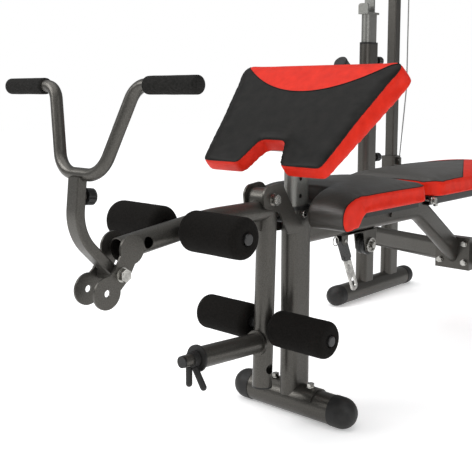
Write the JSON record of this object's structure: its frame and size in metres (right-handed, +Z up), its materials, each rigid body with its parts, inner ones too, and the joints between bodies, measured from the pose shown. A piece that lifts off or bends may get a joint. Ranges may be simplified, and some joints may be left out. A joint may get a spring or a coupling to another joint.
{
  "type": "multi station home gym",
  "caption": "Flat weight bench with preacher pad, roller leg lever with curl bar, barbell rack uprights and a cable tower with a plate carriage and a lat bar.",
  "frame": {"origin": "bottom centre of the machine's bounding box, on the floor", "axes": "+X across the bench to the user's left when seated facing the leg lever, +Y from the leg lever towards the cable tower, +Z up"},
  "size_m": [1.1346, 2.2678, 2.11],
  "materials": {
    "frame_paint": "satin metallic graphite powder coat",
    "grey_paint": "satin silver grey powder coat",
    "black_paint": "satin black",
    "zinc": "bright zinc plate",
    "rubber": "matte black",
    "black_plastic": "fine texture",
    "upholstery": "grained vinyl, black with red sides",
    "foam": "matte closed-cell foam",
    "cable": "plastic-coated steel rope"
  },
  "bodies": {
    "frame": {"front_foot": "frame_paint", "end_caps": "rubber", "frame_bolts": "zinc", "main_post": "frame_paint", "post_collars": "black_plastic", "pivot_bracket": "frame_paint", "pivot_bolt": "zinc", "lever_stop": "rubber", "spine": "frame_paint", "spine_brackets": "frame_paint", "cross_member": "frame_paint", "seat_board": "black_plastic", "seat_pad": "upholstery", "hinge_rod": "zinc", "rest_bar": "frame_paint", "side_frame_left": "frame_paint", "side_frame_right": "frame_paint", "tower_uprights": "frame_paint", "tower_head": "frame_paint", "top_cable": "cable"},
    "leg_lever": {"leg_lever": "frame_paint", "lever_plugs": "black_plastic", "weight_horn": "frame_paint", "curl_clevis": "frame_paint", "clevis_bolt": "zinc"},
    "spring_clip": {"spring_clip": "rubber"},
    "upper_rollers": {"upper_roller_axle": "black_paint", "upper_roller_foams": "foam"},
    "lower_rollers": {"lower_roller_axle": "black_paint", "lower_roller_foams": "foam"},
    "curl_yoke": {"curl_yoke": "frame_paint"},
    "yoke_knob": {"yoke_knob": "black_plastic"},
    "curl_bar": {"curl_bar": "frame_paint", "curl_bar_grips": "rubber"},
    "preacher": {"preacher_post": "grey_paint", "preacher_backing": "black_plastic", "preacher_pad": "upholstery"},
    "preacher_pin": {"preacher_pin": "zinc"},
    "pull_ring": {"pull_ring": "zinc"},
    "low_pulley": {"low_pulley": "black_plastic"},
    "rear_link": {"rear_link": "zinc"},
    "backrest": {"backrest_pad": "upholstery", "backrest_frame": "black_paint", "backrest_fittings": "zinc"},
    "rack_post_left": {"rack_post_left": "grey_paint"},
    "rack_post_right": {"rack_post_right": "grey_paint"},
    "upper_lock_pin_left": {"upper_lock_pin_left": "black_plastic"},
    "upper_lock_pin_right": {"upper_lock_pin_right": "black_plastic"},
    "lower_lock_pin_left": {"lower_lock_pin_left": "black_plastic"},
    "lower_lock_pin_right": {"lower_lock_pin_right": "black_plastic"},
    "carriage": {"weight_carriage": "frame_paint", "carriage_cable": "cable"},
    "lat_hook": {"lat_hook": "zinc", "lat_cable": "cable"},
    "lat_bar": {"lat_bar": "grey_paint", "lat_bar_grips": "rubber"},
    "left_pulley": {"left_pulley": "black_plastic"},
    "middle_pulley": {"middle_pulley": "black_plastic"},
    "front_pulley": {"front_pulley": "black_plastic"}
  },
  "joints": [
    {"name": "leg_lever_swing", "type": "hinge", "parent": "frame", "child": "leg_lever", "pos_m": [0, -0.56411, 0.5785], "axis": [-1, 0, 0], "range_deg": [0, 80]},
    {"name": "spring_clip_slide", "type": "slide", "parent": "leg_lever", "child": "spring_clip", "axis": [0, -0.998, 0.0628], "range_m": [0, 0.06]},
    {"name": "upper_roller_spin", "type": "hinge", "parent": "leg_lever", "child": "upper_rollers", "pos_m": [0, -0.85111, 0.541], "axis": [1, 0, 0], "continuous": true},
    {"name": "lower_roller_spin", "type": "hinge", "parent": "leg_lever", "child": "lower_rollers", "pos_m": [0, -0.55761, 0.2613], "axis": [1, 0, 0], "continuous": true},
    {"name": "curl_yoke_tilt", "type": "hinge", "parent": "leg_lever", "child": "curl_yoke", "pos_m": [0, -1.03711, 0.474], "axis": [-1, 0, 0], "range_deg": [0, 10]},
    {"name": "yoke_knob_turn", "type": "hinge", "parent": "curl_yoke", "child": "yoke_knob", "pos_m": [0, -1.10895, 0.63504], "axis": [0, 0.995, -0.0995], "continuous": true},
    {"name": "curl_bar_height", "type": "slide", "parent": "curl_yoke", "child": "curl_bar", "axis": [0, 0.0995, 0.995], "range_m": [0, 0.03]},
    {"name": "preacher_height", "type": "slide", "parent": "frame", "child": "preacher", "axis": [0, 0, 1], "range_m": [0, 0.1]},
    {"name": "preacher_pin_pull", "type": "slide", "parent": "frame", "child": "preacher_pin", "axis": [1, 0, 0], "range_m": [0, 0.006], "stiffness_N_per_m": 1500, "springref_m": -0.004},
    {"name": "pull_ring_pull", "type": "slide", "parent": "frame", "child": "pull_ring", "axis": [0, 0, -1], "range_m": [0, 0.004], "stiffness_N_per_m": 1500, "springref_m": -0.002},
    {"name": "low_pulley_spin", "type": "hinge", "parent": "frame", "child": "low_pulley", "pos_m": [0, -0.10611, 0.402], "axis": [1, 0, 0], "continuous": true},
    {"name": "rear_link_swing", "type": "hinge", "parent": "frame", "child": "rear_link", "pos_m": [0, -0.22411, 0.428], "axis": [1, 0, 0], "range_deg": [-45, 10]},
    {"name": "backrest_tilt", "type": "hinge", "parent": "frame", "child": "backrest", "pos_m": [0, 0.01689, 0.53], "axis": [1, 0, 0], "range_deg": [0, 55]},
    {"name": "rack_height_left", "type": "slide", "parent": "frame", "child": "rack_post_left", "axis": [0, 0, 1], "range_m": [0, 0.25]},
    {"name": "upper_lock_pin_pull_left", "type": "slide", "parent": "frame", "child": "upper_lock_pin_left", "axis": [0, 1, 0], "range_m": [0, 0.006], "stiffness_N_per_m": 1500, "springref_m": -0.006},
    {"name": "lower_lock_pin_pull_left", "type": "slide", "parent": "frame", "child": "lower_lock_pin_left", "axis": [0, 1, 0], "range_m": [0, 0.006], "stiffness_N_per_m": 1500, "springref_m": -0.006},
    {"name": "rack_height_right", "type": "slide", "parent": "frame", "child": "rack_post_right", "axis": [0, 0, 1], "range_m": [0, 0.25]},
    {"name": "upper_lock_pin_pull_right", "type": "slide", "parent": "frame", "child": "upper_lock_pin_right", "axis": [0, 1, 0], "range_m": [0, 0.006], "stiffness_N_per_m": 1500, "springref_m": -0.006},
    {"name": "lower_lock_pin_pull_right", "type": "slide", "parent": "frame", "child": "lower_lock_pin_right", "axis": [0, 1, 0], "range_m": [0, 0.006], "stiffness_N_per_m": 1500, "springref_m": -0.006},
    {"name": "carriage_lift", "type": "slide", "parent": "frame", "child": "carriage", "axis": [0, 0, 1], "range_m": [0, 0.45], "deforming": ["carriage_cable"]},
    {"name": "lat_bar_drop", "type": "slide", "parent": "frame", "child": "lat_hook", "axis": [0, 0, 1], "range_m": [-0.45, 0], "deforming": ["lat_cable"]},
    {"name": "lat_bar_swivel", "type": "hinge", "parent": "lat_hook", "child": "lat_bar", "pos_m": [0, 0.41389, 1.764], "axis": [0, 0, 1], "range_deg": [-25, 25]},
    {"name": "left_pulley_spin", "type": "hinge", "parent": "frame", "child": "left_pulley", "pos_m": [-0.417, 0.90389, 1.98], "axis": [0, 1, 0], "continuous": true},
    {"name": "middle_pulley_spin", "type": "hinge", "parent": "frame", "child": "middle_pulley", "pos_m": [-0.045, 0.85889, 2.025], "axis": [0, 0, 1], "continuous": true},
    {"name": "front_pulley_spin", "type": "hinge", "parent": "frame", "child": "front_pulley", "pos_m": [0, 0.45889, 1.98], "axis": [1, 0, 0], "continuous": true}
  ],
  "couplings": [
    {"joint": "lat_bar_drop", "follows": "carriage_lift", "ratio": -1},
    {"joint": "left_pulley_spin", "follows": "carriage_lift", "rad_per_m": 22.222},
    {"joint": "middle_pulley_spin", "follows": "carriage_lift", "rad_per_m": -22.222},
    {"joint": "front_pulley_spin", "follows": "carriage_lift", "rad_per_m": 22.222}
  ]
}
